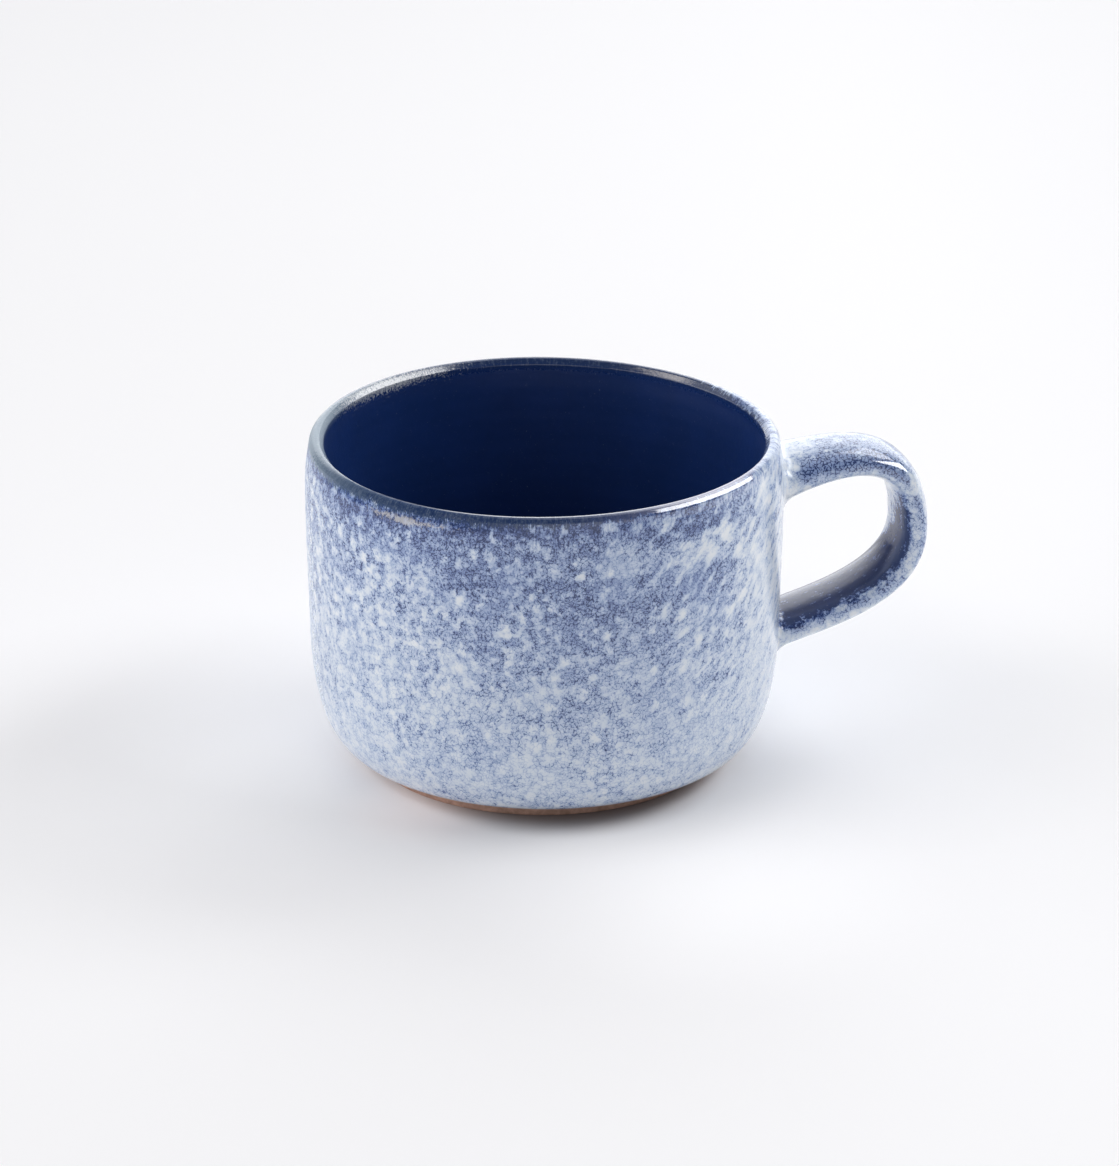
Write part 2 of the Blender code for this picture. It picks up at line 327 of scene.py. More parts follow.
def inner_radius(z):
    """Radius of the inside above its bottom corner. The wall thins towards the lip."""
    share = np.clip((z - WIDEST_Z) / (LIP_Z - WIDEST_Z), 0, None)
    return outer_radius(z) - WALL_THICKNESS - (LIP_THICKNESS - WALL_THICKNESS) * share**2


def outside_outline():
    """(radius, height) points up the cup's face, from the glaze line to the rim band."""
    foot = (GLAZE_LINE_RADIUS, GLAZE_LINE_Z)
    low = corner(foot, (CORNER_TOP_RADIUS, CORNER_TOP_Z), CORNER_POWER, 60)
    z = np.linspace(CORNER_TOP_Z, RIM_BAND_Z, 50)[1:]
    return np.vstack([low, np.stack([outer_radius(z), z], 1)])


def rim_outline():
    """(radius, height) points over the lip, from the rim band outside to the same height inside."""
    z = np.linspace(RIM_BAND_Z, LIP_Z, 6)[:-1]
    angle = np.linspace(0, math.pi, 73)
    half = np.full_like(angle, LIP_THICKNESS / 2)
    for middle, reach in LIP_BEVELS:
        off = angle - middle
        flat = np.cos(reach) / np.cos(np.clip(off, -reach, reach))
        half = np.where(np.abs(off) < reach, half * flat, half)
    middle = LIP_RADIUS - LIP_THICKNESS / 2
    lip = np.stack([middle + half * np.cos(angle), LIP_Z + half * np.sin(angle)], 1)
    outside = np.stack([outer_radius(z), z], 1)
    inside = np.stack([inner_radius(z), z], 1)[::-1]
    return np.vstack([outside, lip, inside])


def inside_outline():
    """(radius, height) points down the inside, from the rim band to the middle of the floor."""
    z = np.linspace(RIM_BAND_Z, INNER_CORNER_TOP_Z, 50)[:-1]
    top = (float(inner_radius(INNER_CORNER_TOP_Z)), INNER_CORNER_TOP_Z)
    low = corner((FLOOR_RADIUS, FLOOR_Z), top, INNER_CORNER_POWER, 50)[::-1]
    r = np.linspace(FLOOR_RADIUS, 0, 12)[1:]
    bottom = np.stack([r, np.full_like(r, FLOOR_Z)], 1)
    return np.vstack([np.stack([inner_radius(z), z], 1), low, bottom])


def sunk(outline, depth):
    """The outline moved by depth to the left of the way it runs, which is into the clay."""
    run = np.gradient(outline, axis=0)
    run /= np.linalg.norm(run, axis=1)[:, None]
    return outline + depth * np.stack([-run[:, 1], run[:, 0]], 1)


def sway(theta, z):
    """How far the thrown wall strays from round at an angle and height. The foot is off centre."""
    up = smoothstep(0, HEIGHT, z)
    lobes = sum(size * np.cos(count * theta + phase) for size, count, phase in LOBES)
    lobes = lobes * (LOBES_AT_FOOT + (1 - LOBES_AT_FOOT) * up)
    height = z / MM
    ridges = sum(size * np.sin(height * pitch + count * theta + phase) for size, pitch, count, phase in RIDGES)
    ridges = ridges * smoothstep(0, RIDGES_START_Z, z)
    low, high = FOOT_OFF_CENTRE_Z
    off_centre = FOOT_OFF_CENTRE * np.cos(theta - VIEW_TURN) * smoothstep(high, low, z)
    return (lobes + ridges - off_centre) * MM


def lift(theta, z):
    """How far the lip stands above or below level at an angle."""
    wave = -np.sin(2 * (theta + RIM_RISE_TURN))
    return RIM_RISE * wave * smoothstep(RIM_RISE_STARTS_Z, HEIGHT, z)


def around(outline):
    """The outline turned round the axis, with the sway and lift of the thrown cup."""
    theta = np.linspace(0, 2 * math.pi, TURNED_STEPS, endpoint=False)[None, :]
    r, z = outline[:, :1], outline[:, 1:]
    radius = r + sway(theta, z) * smoothstep(0, TRUE_RADIUS, r)
    return np.stack([radius * np.cos(theta), radius * np.sin(theta), z + lift(theta, z) + 0 * theta], 2)


def grid_faces(rows, columns, wrap_rows):
    """Quads between rows that each close on themselves."""
    i = np.arange(rows if wrap_rows else rows - 1)[:, None]
    j = np.arange(columns)[None, :]
    below, beside = (i + 1) % rows, (j + 1) % columns
    quads = [i * columns + j, i * columns + beside, below * columns + beside, below * columns + j]
    return np.stack([q + 0 * i + 0 * j for q in quads], 2).reshape(-1, 4)


def facing_out(points, faces):
    """The faces of a closed mesh, turned round if they point inwards."""
    volume = 0.0
    for face in (faces[:, [0, 1, 2]], faces[:, [0, 2, 3]]):
        a, b, c = points[face[:, 0]], points[face[:, 1]], points[face[:, 2]]
        volume += float(np.einsum("ij,ij->i", a, np.cross(b, c)).sum())
    return faces if volume > 0 else faces[:, ::-1]


def carry(mesh, field, values):
    """Store a number or a vector at each of the mesh's points, under the field's name."""
    kind, key = ("FLOAT", "value") if values.ndim == 1 else ("FLOAT_VECTOR", "vector")
    data = mesh.attributes.new(field, kind, "POINT").data
    data.foreach_set(key, values.astype(np.float32).ravel())


def grid_object(name, grid, wrap_rows, fields):
    """A closed, smooth object from points[row, column], with fields that have a value at each point."""
    points = grid.reshape(-1, 3)
    faces = facing_out(points, grid_faces(*grid.shape[:2], wrap_rows))
    mesh = bpy.data.meshes.new(name)
    mesh.from_pydata(points.tolist(), [], faces.tolist())
    for field, values in fields.items():
        carry(mesh, field, values.reshape(-1, *values.shape[2:]))
    mesh.shade_smooth()
    mesh.set_sharp_from_angle(angle=SHARP_ANGLE)
    obj = bpy.data.objects.new(name, mesh)
    bpy.context.scene.collection.objects.link(obj)
    return obj


def weld(obj):
    """Merge the points that meet on the cup's axis."""
    bm = bmesh.new()
    bm.from_mesh(obj.data)
    bmesh.ops.remove_doubles(bm, verts=bm.verts, dist=1e-7)
    bm.to_mesh(obj.data)
    bm.free()


# Fields that the glaze's meshes carry, for the materials to read


def view_turn(theta):
    """The turn of an angle round the cup's axis, between -180 and 180 degrees."""
    return (np.degrees(theta - VIEW_TURN) + 180) % 360 - 180


def near_turn(turn, middle, reach):
    """1 at a turn, falling off round the cup."""
    return bump_at((turn - middle + 180) % 360 - 180, 0, reach)


def marks(turn, table):
    """The sum of a table's marks at a turn."""
    return sum(amount * near_turn(turn, middle, reach) for middle, reach, amount in table)


def crowding(turn, height):
    """Where the dark specks crowd together on the cup."""
    total = CROWD_AT_LIP * smoothstep(18, 58, height) + CROWD_AT_FOOT * smoothstep(26, 6, height)
    total = total + marks(turn, CROWD_MARKS)
    total = total + marks(turn, CROWD_MARKS_UNDER_LIP) * smoothstep(60, 64, height)
    for middle, up, reach, rise, amount in BLOTCHES:
        total = total + amount * near_turn(turn, middle, reach) * bump_at(height, up, rise)
    return total


def slant(turn, height):
    """1 where the spots lean, on the right of the cup's front."""
    round_the_cup = smoothstep(*SLANT_COMES, turn) * smoothstep(*SLANT_GOES[::-1], turn)
    return round_the_cup * smoothstep(*SLANT_RISES, height)


def leaning_lay(turn, height):
    """The way along and across the lean of the spots, in mm, drawn out along it."""
    slide = np.radians(turn - SLANT_ORIGIN_TURN) * WIDEST_RADIUS / MM
    along = slide * math.cos(SLANT) + height * math.sin(SLANT)
    across = -slide * math.sin(SLANT) + height * math.cos(SLANT)
    return np.stack([along / SLANT_STRETCH, across, 0 * along], 2)


def gloss(turn, over):
    """How much wetter the brim shines than the rest: more at the front right, less at the left."""
    brim = smoothstep(-4.0, -3.2, over) * smoothstep(1.0, 0.0, over)
    return marks(turn, GLOSS_MARKS) * brim


def cup_fields(turn, height, over):
    """What the cup's glaze carries at each point. over is the way past the lip's crest in mm."""
    return {
        "over_lip": over,
        "crowding": crowding(turn, height),
        "bleed": BLEED_BASE + marks(turn, BLEED_MARKS),  # how far past the crest the speckle runs, in mm
        "wear": marks(turn, WEAR_MARKS),  # how thin the glaze is on the lip
        "haze": marks(turn, HAZE_MARKS),  # how milky the lip's glaze is
        "sand": marks(turn, SAND_MARKS) * bump_at(over, -3.7, 1.1),  # a sandy patch under the lip
        "painted_glare": marks(turn, PAINTED_GLARE_MARKS) * bump_at(over, 1.6, 1.9),  # painted glare, broken by grain, just inside the lip at the back left
        "crest": marks(turn, CREST_HIGHLIGHT_MARKS) + 0 * over,  # a painted highlight along the lip's crest
        "gloss": gloss(turn, over),
        "foam": 0 * turn,  # 1 on the strap, where the specks form a coarse net
        "shelter": 0 * turn,  # 1 on the strap's inner face, which the spray hardly reached
        "slant": slant(turn, height),
        "lay": leaning_lay(turn, height),
    }


# Cup


def turned_object(name, outline, over_lip, wrap=True):
    """An outline turned round the axis. over_lip is each point's way past the lip's crest, in mm."""
    grid = around(outline)
    turn = view_turn(np.arctan2(grid[..., 1], grid[..., 0]))
    over = np.broadcast_to(over_lip[:, None], turn.shape)
    return grid_object(name, grid, wrap, cup_fields(turn, grid[..., 2] / MM, over))


def distance_from_start(outline):
    """Way along the outline, in mm."""
    steps = np.linalg.norm(np.diff(outline, axis=0), axis=1) / MM
    return np.concatenate([[0], np.cumsum(steps)])


def rounded_foot_edge(face, back):
    """The nose of the glaze: half round from the face's first point to the back's."""
    middle = (face[0] + back[0]) / 2
    arm = face[0] - middle
    side = np.array((arm[1], -arm[0]))
    angle = np.linspace(0, math.pi, 8)[1:-1]
    return np.stack([middle + arm * math.cos(a) + side * math.sin(a) for a in angle])


def outer_coat():
    """The speckled coat on the cup's outside, with a round edge at the glaze line."""
    face = outside_outline()
    back = sunk(face, GLAZE)
    nose = rounded_foot_edge(face, back)
    way = distance_from_start(face)
    over = way - way[-1] - HALF_LIP
    over = np.concatenate([over, over[::-1], np.full(len(nose), over[0])])
    return turned_object("speckled_coat", np.vstack([face, back[::-1], nose[::-1]]), over)


def lip_coat():
    """The thin coat over the lip."""
    face = rim_outline()
    outline = np.vstack([face, sunk(face, GLAZE)[::-1]])
    over = distance_from_start(face) - HALF_LIP
    return turned_object("lip_coat", outline, np.concatenate([over, over[::-1]]))


def liner_coat():
    """The cobalt coat on the cup's inside."""
    face = inside_outline()
    back = sunk(face, GLAZE)
    back[-1, 0] = 0
    outline = np.vstack([face[::-1], back])
    over = distance_from_start(face) + HALF_LIP
    obj = turned_object("liner_coat", outline, np.concatenate([over[::-1], over]), wrap=False)
    weld(obj)
    return obj


def foot_outline():
    """(radius, height) points of the bare foot, from the glaze line down and in to the axis."""
    climb = np.linspace(0, 1, 10)[1:]
    wall_r = FOOT_TOP_RADIUS + (FOOT_RADIUS - FOOT_TOP_RADIUS) * climb**FOOT_FLARE_POWER
    wall_z = GLAZE_LINE_Z + (FOOT_CHAMFER - GLAZE_LINE_Z) * climb
    angle = np.linspace(0, math.pi / 2, 6)[1:]
    edge_r = FOOT_RADIUS - FOOT_CHAMFER * (1 - np.cos(angle))
    edge_z = FOOT_CHAMFER * (1 - np.sin(angle))
    base_r = np.linspace(FOOT_RADIUS - FOOT_CHAMFER, 0, 130)[1:]
    rings = TURNING_RING_DEPTH * (1 + np.sin(base_r / MM * TURNING_RING_PITCH + np.sin(base_r / MM)))
    base_z = rings * smoothstep(FOOT_RADIUS - FOOT_CHAMFER, FOOT_RADIUS - 4 * MM, base_r)
    r = np.concatenate([[FOOT_TOP_RADIUS], wall_r, edge_r, base_r])
    z = np.concatenate([[GLAZE_LINE_Z], wall_z, edge_z, base_z])
    return np.stack([r, z], 1)


def clay_cup():
    """The clay under the glaze, with its turned foot: faint rings are cut in the underside."""
    skin = np.vstack([outside_outline(), rim_outline()[1:], inside_outline()[1:]])
    face = sunk(skin, GLAZE + CLAY_GAP)
    face[-1, 0] = 0
    outline = np.vstack([face[::-1], foot_outline()])
    obj = turned_object("clay_cup", outline, np.zeros(len(outline)), wrap=False)
    weld(obj)
    return obj


# Strap


def bezier(a, b, c, d, steps):
    """Points along the cubic curve from a to d, pulled towards b and c."""
    t = np.linspace(0, 1, steps)[:, None]
    return (1 - t) ** 3 * a + 3 * (1 - t) ** 2 * t * b + 3 * (1 - t) * t * t * c + t**3 * d


def leaving(root, rise, pull):
    """The point that the strap's line heads for as it leaves a root."""
    return root + pull * np.array((math.cos(rise), math.sin(rise)))


def run_on(end, neighbour):
    """Points straight on from the end of a line, away from its neighbour."""
    way = (end - neighbour) / np.linalg.norm(end - neighbour)
    return end + np.linspace(0, RUN_ON, RUN_ON_STEPS)[1:, None] * way


def middle_line():
    """(x, z) points along the middle of the strap, run on into the wall, and where its roots are."""
    up = np.array((0, OUTERMOST_PULL_UP))
    down = np.array((0, OUTERMOST_PULL_DOWN))
    upper_lead = leaving(UPPER_ROOT, UPPER_RISE, UPPER_PULL)
    lower_lead = leaving(LOWER_ROOT, LOWER_RISE, LOWER_PULL)
    above = bezier(UPPER_ROOT, upper_lead, OUTERMOST + up, OUTERMOST, LINE_STEPS)
    below = bezier(OUTERMOST, OUTERMOST - down, lower_lead, LOWER_ROOT, LINE_STEPS)
    line = np.vstack([above, below[1:]])
    start = run_on(line[0], line[1])[::-1]
    end = run_on(line[-1], line[-2])
    return np.vstack([start, line, end]), len(start), len(start) + len(line) - 1


def strap_surface(depth):
    """The strap's face sunk by depth: points[station, angle], and the face's normals there."""
    line, first, last = middle_line()
    run = np.gradient(line, axis=0)
    length = distance_from_start(line)
    share = np.clip((length - length[first]) / (length[last] - length[first]), 0, 1)
    run /= np.linalg.norm(run, axis=1)[:, None]
    width, thickness = STRAP_WIDTH, STRAP_THICKNESS
    for (more_width, more_thickness, reach), away in ((UPPER_SWELL, share), (LOWER_SWELL, 1 - share)):
        swell = np.clip(1 - away / reach, 0, 1) ** 2
        width = width + more_width * swell
        thickness = thickness + more_thickness * swell
    angle = section_angles()
    c, s = np.cos(angle), np.sin(angle)
    wide = np.sign(c) * np.abs(c) ** (2 / STRAP_POWER)
    high = np.sign(s) * np.abs(s) ** (2 / STRAP_POWER)
    half_wide = (width / 2 - depth)[:, None]
    half_high = (thickness / 2 - depth)[:, None]
    outward = np.stack([-run[:, 1], run[:, 0]], 1)
    x = line[:, :1] + half_high * high * outward[:, :1]
    z = line[:, 1:] + half_high * high * outward[:, 1:]
    y = half_wide * wide
    across = np.sign(c) * np.abs(wide) ** (STRAP_POWER - 1) / half_wide
    above = np.sign(s) * np.abs(high) ** (STRAP_POWER - 1) / half_high
    normals = np.stack([above * outward[:, :1], across + 0 * above, above * outward[:, 1:]], 2)
    normals /= np.linalg.norm(normals, axis=2)[:, :, None]
    return np.stack([x, y, z], 2), normals


def section_angles():
    """Angles round the strap's section, as one row."""
    return np.linspace(0, 2 * math.pi, SECTION_STEPS, endpoint=False)[None, :]


def clearance(points):
    """How far points lie outside the cup's face, measured level."""
    theta = np.arctan2(points[..., 1], points[..., 0])
    radius = np.hypot(points[..., 0], points[..., 1])
    z = points[..., 2]
    flat_z = z - lift(theta, z)
    return radius - outer_radius(flat_z) - sway(theta, flat_z)


def onto_wall(points, stand_off):
    """The points moved level onto the cup's face, standing off it."""
    theta = np.arctan2(points[..., 1], points[..., 0])
    gone = clearance(points) - stand_off
    return points - gone[..., None] * np.stack([np.cos(theta), np.sin(theta), 0 * theta], -1)


def crossing(gaps, level, from_start):
    """For each column, the row (with a fraction) where the strap leaves the wall by level."""
    rows = np.arange(gaps.shape[0])
    found = []
    for column in gaps.T:
        half = len(column) // 2
        part = slice(0, half) if from_start else slice(half, None)
        order = slice(None) if from_start else slice(None, None, -1)
        found.append(np.interp(level, column[part][order], rows[part][order]))
    return np.array(found)


def sample(table, rows):
    """Rows of table[row, column] at fractional row numbers, one for each column."""
    low = np.clip(np.floor(rows).astype(int), 0, table.shape[0] - 2)
    part = (rows - low).reshape((-1,) + (1,) * (table.ndim - 2))
    column = np.arange(table.shape[1])
    return table[low, column] * (1 - part) + table[low + 1, column] * part


def sampled_between(table, first, last):
    """Rows of table[row, column] spaced evenly from the row numbers first to last."""
    return np.stack([sample(table, first + (last - first) * t) for t in np.linspace(0, 1, STRAP_STEPS)])


def fillet(points, normals, gaps, from_start):
    """Rows from the strap's side down onto the wall, ending just under the wall's face."""
    start = sample(points, crossing(gaps, FILLET, from_start))
    meet = sample(points, crossing(gaps, 0.0, from_start))
    lean = sample(normals, crossing(gaps, FILLET, from_start))
    out = onto_wall(meet + FILLET_SPREAD * lean, 0.0)
    t = np.linspace(0, 1, FILLET_STEPS)[:, None, None]
    curve = (1 - t) ** 2 * start + 2 * (1 - t) * t * meet + t * t * out
    past = onto_wall(meet + (FILLET_SPREAD + FILLET_TAIL) * lean, -TAIL_DEPTH)
    return np.concatenate([curve[1:], past[None]])


def strap_grid():
    """The coat's rows, each round the strap: its face between two fillets, and its back inside."""
    points, normals = strap_surface(0.0)
    gaps = clearance(points)
    face = sampled_between(points, crossing(gaps, FILLET, True), crossing(gaps, FILLET, False))
    upper = fillet(points, normals, gaps, True)[::-1]
    lower = fillet(points, normals, gaps, False)
    inner, _ = strap_surface(GLAZE)
    inner_gaps = clearance(inner)
    start = crossing(inner_gaps, -BACK_DEPTH, True)
    end = crossing(inner_gaps, -BACK_DEPTH, False)
    return np.concatenate([upper, face, lower, sampled_between(inner, end, start)])


def strap_coat():
    """A sleeve of speckled glaze round the strap."""
    grid = strap_grid()
    level = np.zeros(grid.shape[:2])
    way = np.linspace(0, 1, STRAP_STEPS)
    flat = np.zeros(STRAP_STEPS)
    fading = np.linspace(1, 0, FILLET_STEPS)
    share = np.concatenate([0 * fading, way, 0 * fading + 1, way[::-1]])[:, None] + level
    at_root = np.concatenate([fading, flat, fading[::-1], flat])[:, None] + level
    angle = section_angles() + level
    turn = view_turn(np.arctan2(grid[..., 1], grid[..., 0]))
    on_wall = crowding(turn, grid[..., 2] / MM) - ROOT_CALM
    along = share * STRAP_LENGTH / MM
    glossy = bump_at(angle, STRAP_GLOSS_ANGLE * math.pi, STRAP_GLOSS_REACH)
    fields = {name: level for name in ("bleed", "wear", "haze", "sand", "painted_glare", "crest", "slant")}
    fields["over_lip"] = level + FAR_BELOW_LIP
    fields["crowding"] = strap_crowding(share, angle) * (1 - at_root) + on_wall * at_root
    fields["gloss"] = glossy * bump_at(share, STRAP_GLOSS_SHARE, STRAP_GLOSS_LENGTH)
    fields["foam"] = level + 1
    fields["shelter"] = strap_shelter(share, angle) * (1 - at_root)
    fields["lay"] = np.stack([grid[..., 1] / MM, along / STREAK_STRETCH, level], 2)
    return grid_object("speckled_strap_coat", grid, True, fields)


def strap_shelter(share, angle):
    """The strap's inner face, which the spray hardly reached. It ends softly towards both sides."""
    low, high = SHELTER_NEAR_EDGE
    near_side = smoothstep(low * math.pi, high * math.pi, angle)
    widening = (SHELTER_FAR_EDGE_LOW_DOWN - SHELTER_FAR_EDGE) * smoothstep(*SHELTER_WIDENS, share)
    far_edge = SHELTER_FAR_EDGE + widening
    far_side = smoothstep((far_edge + SHELTER_SOFTNESS) * math.pi, far_edge * math.pi, angle)
    return near_side * far_side * smoothstep(*SHELTER_COMES, share)


def strap_crowding(share, angle):
    """Specks crowd along the near side of the upper arm and the inner edge of the bend."""
    total = STRAP_CROWD_BASE
    for middle, reach, amount, comes, goes in STRAP_CROWD_MARKS:
        along = smoothstep(*comes, share) * smoothstep(*goes[::-1], share)
        total = total + amount * bump_at(angle, middle * math.pi, reach) * along
    return total


# Materials


class Graph:
    """A node tree, with one short call for each kind of node."""

    def __init__(self, tree):
        self.tree = tree
        self.nodes = tree.nodes
        self.nodes.clear()

    def new(self, kind, **settings):
        node = self.nodes.new(kind)
        for name, value in settings.items():
            setattr(node, name, value)
        return node

    def feed(self, socket, value):
        if isinstance(value, bpy.types.NodeSocket):
            self.tree.links.new(value, socket)
        elif value is not None:
            socket.default_value = value

    def filled(self, node, *values):
        for socket, value in zip(node.inputs, values):
            self.feed(socket, value)
        return node.outputs[0]

    def coordinates(self, kind):
        return self.new("ShaderNodeTexCoord").outputs[kind]

    def scale(self, vector, factor):
        node = self.new("ShaderNodeVectorMath", operation="SCALE")
        self.feed(node.inputs[0], vector)
        self.feed(node.inputs["Scale"], factor)
        return node.outputs[0]

    def vector(self, operation, a, b):
        node = self.new("ShaderNodeVectorMath", operation=operation)
        self.filled(node, a, b)
        return node.outputs["Value" if operation in ("DOT_PRODUCT", "DISTANCE") else "Vector"]

    def math(self, operation, a, b=None):
        return self.filled(self.new("ShaderNodeMath", operation=operation), a, b)

    def total(self, *terms):
        out = terms[0]
        for term in terms[1:]:
            out = self.math("ADD", out, term)
        return out

    def product(self, *factors):
        out = factors[0]
        for factor in factors[1:]:
            out = self.math("MULTIPLY", out, factor)
        return out

    def field(self, name, output="Fac"):
        """A value that the mesh carries at each of its points."""
        return self.new("ShaderNodeAttribute", attribute_name=name).outputs[output]

    def noise(self, vector, scale, detail=2.0, roughness=0.5, colour=False):
        node = self.new("ShaderNodeTexNoise")
        self.feed(node.inputs["Vector"], vector)
        self.feed(node.inputs["Scale"], scale)
        self.feed(node.inputs["Detail"], detail)
        self.feed(node.inputs["Roughness"], roughness)
        return node.outputs["Color" if colour else "Fac"]

    def swing(self, vector, scale, detail, roughness):
        """Noise that runs to both sides of zero."""
        return self.math("SUBTRACT", self.noise(vector, scale, detail, roughness), 0.5)

    def cells(self, vector, scale, feature="F1"):
        node = self.new("ShaderNodeTexVoronoi", feature=feature)
        self.feed(node.inputs["Vector"], vector)
        self.feed(node.inputs["Scale"], scale)
        return node.outputs

    def net(self, vector, scale, thickness):
        """1 on the lines between cells, fading over the lines' thickness, a share of a cell."""
        return self.ramp(self.cells(vector, scale, "DISTANCE_TO_EDGE")["Distance"], thickness, 0.0)

    def ramp(self, value, low, high, to_low=0.0, to_high=1.0):
        node = self.new("ShaderNodeMapRange", interpolation_type="SMOOTHSTEP")
        return self.filled(node, value, low, high, to_low, to_high)

    def mix(self, share, a, b):
        node = self.new("ShaderNodeMix", data_type="RGBA")
        self.feed(node.inputs[0], share)
        self.feed(node.inputs[6], (*a, 1) if isinstance(a, tuple) else a)
        self.feed(node.inputs[7], (*b, 1) if isinstance(b, tuple) else b)
        return node.outputs[2]

    def blend(self, share, a, b):
        return self.filled(self.new("ShaderNodeMix"), share, None, a, b)

    def colours(self, value, stops):
        node = self.new("ShaderNodeValToRGB")
        self.feed(node.inputs[0], value)
        elements = node.color_ramp.elements
        elements.remove(elements[1])
        for index, (where, colour) in enumerate(stops):
            element = elements[0] if index == 0 else elements.new(where)
            element.position = where
            element.color = (*colour, 1)
        return node.outputs[0]

    def joined(self, x, y, z):
        return self.filled(self.new("ShaderNodeCombineXYZ"), x, y, z)

    def split(self, vector):
        return self.filled(self.new("ShaderNodeSeparateXYZ"), vector).node.outputs

    def warp(self, vector, scale, amount):
        """The place pushed about by noise, so that what follows has no straight edges."""
        push = self.vector("SUBTRACT", self.noise(vector, scale, colour=True), (0.5, 0.5, 0.5))
        return self.vector("ADD", vector, self.scale(push, amount))

    def bump(self, height, depth, normal=None):
        """Relief of a depth in millimetres."""
        node = self.new("ShaderNodeBump")
        self.feed(node.inputs["Height"], height)
        self.feed(node.inputs["Distance"], depth * MM)
        self.feed(node.inputs["Normal"], normal)
        return node.outputs[0]

    def surface(self, **inputs):
        shader = self.new("ShaderNodeBsdfPrincipled")
        for name, value in inputs.items():
            self.feed(shader.inputs[name.replace("_", " ")], value)
        output = self.new("ShaderNodeOutputMaterial")
        self.tree.links.new(shader.outputs[0], output.inputs[0])


def new_material(name):
    """A material, its graph, and the place of a point in millimetres."""
    material = bpy.data.materials.new(name)
    material.use_nodes = True
    g = Graph(material.node_tree)
    return material, g, g.scale(g.coordinates("Object"), 1 / MM)


def islands(g, place):
    """Where the pale glaze gives way to blue: about 0.35 in its islands, about 0.65 between them."""
    ragged = g.warp(g.warp(place, 0.35, 1.3), 1.4, 0.6)
    return g.noise(ragged, ISLAND_GRAIN, 3.0, 0.62)


def beads(g, place):
    """Soft pale beads of glaze a few millimetres across, some fainter than others."""
    cell = g.cells(g.warp(place, 0.8, 1.0), BEAD_GRAIN)
    chosen = g.ramp(g.split(cell["Color"])[0], 0.25, 0.85)
    return g.product(g.ramp(cell["Distance"], 0.62, 0.12), chosen)


def speckle(g, place):
    """How dark the sprayed glaze is, from 0 for its creamy beads to 1 for the ink between them."""
    lay = g.field("lay", "Vector")
    slanted = g.field("slant")
    foam = g.field("foam")
    crowded = g.field("crowding")
    on_cup = g.math("SUBTRACT", 1.0, foam)
    height = g.split(place)[2]
    bead = g.blend(slanted, beads(g, place), beads(g, lay))
    land = g.blend(slanted, islands(g, place), islands(g, lay))
    patch = g.noise(g.warp(place, 0.2, 2.0), 0.13, 2.0, 0.5)
    ground = g.total(land, g.product(patch, 0.36), -0.17, g.product(bead, -0.15))
    blue = g.total(ground, g.product(crowded, 0.62))

    # Lines and dots of ink lie where the glaze is blue, and calm areas have fewer of them
    curled = g.warp(g.warp(place, 0.9, 0.6), 2.4, 0.42)
    tiny = g.noise(place, 2.3, 2.0, 0.6)
    net = g.net(curled, NET_GRAIN, 0.13)
    fine_net = g.net(curled, FINE_NET_GRAIN, 0.17)
    dots = g.ramp(g.cells(curled, DOT_GRAIN)["Distance"], 0.36, 0.10)
    calm = g.blend(foam, g.ramp(g.noise(place, 0.075), 0.34, 0.50, 0.4, 1.0), 1.0)
    inked = g.product(g.ramp(blue, 0.40, 0.72), calm)

    # The strap's net is thick where it is crowded. The lower body is hazier and its net is plainer.
    fine = g.math("SUBTRACT", 1.0, g.product(foam, 0.6))
    thick = g.ramp(crowded, 0.15, 0.50, 0.35, 2.0)
    low = g.math("MINIMUM", g.ramp(height, 44.0, 22.0), on_cup)
    dark = g.total(
        g.product(g.ramp(blue, 0.28, 0.80), g.blend(foam, g.blend(low, 0.44, 0.32), 0.27)),
        g.product(net, inked, g.ramp(tiny, 0.38, 0.62), g.blend(foam, 0.58, thick)),
        g.product(fine_net, inked, g.ramp(tiny, 0.35, 0.60), fine, 0.38),
        g.product(dots, inked, g.ramp(tiny, 0.35, 0.55), fine, 0.50),
        g.product(net, g.ramp(land, 0.34, 0.48), g.blend(low, 0.15, 0.29)),
        g.product(tiny, 0.10),
        g.product(bead, -0.11),
        g.ramp(crowded, 0.0, 0.45, 0.0, 0.24),
        g.product(low, 0.005),
        0.01,
    )
    middle = 0.33
    contrast = g.math("MAXIMUM", g.ramp(height, 22.0, 58.0, 0.74, 0.98), foam)
    return g.math("ADD", g.product(g.math("SUBTRACT", dark, middle), contrast), middle)


def runs(g, place, over_lip):
    """Noise drawn out down the wall, as the glaze ran."""
    x, y = g.split(place)[0:2]
    ring = g.vector("NORMALIZE", g.joined(x, y, None), None)
    ring = g.scale(ring, WIDEST_RADIUS / MM)
    down = g.joined(None, None, g.product(over_lip, 0.16))
    return g.swing(g.vector("ADD", ring, down), 2.6, 3.0, 0.65)


def lip_colours(g, over_lip, streak, ragged):
    """The thin glaze on the lip: navy, teal where it is worn, milky at the front, cobalt inside."""
    mottle = g.total(g.product(streak, 0.8), g.product(ragged, 0.9))
    colour = g.mix(g.math("ADD", g.field("wear"), g.product(mottle, 0.6)), NAVY, TEAL)
    colour = g.mix(g.math("ADD", g.field("haze"), g.product(mottle, 0.7)), colour, LAVENDER)
    return g.mix(g.ramp(over_lip, 0.9, 3.2), colour, COBALT)


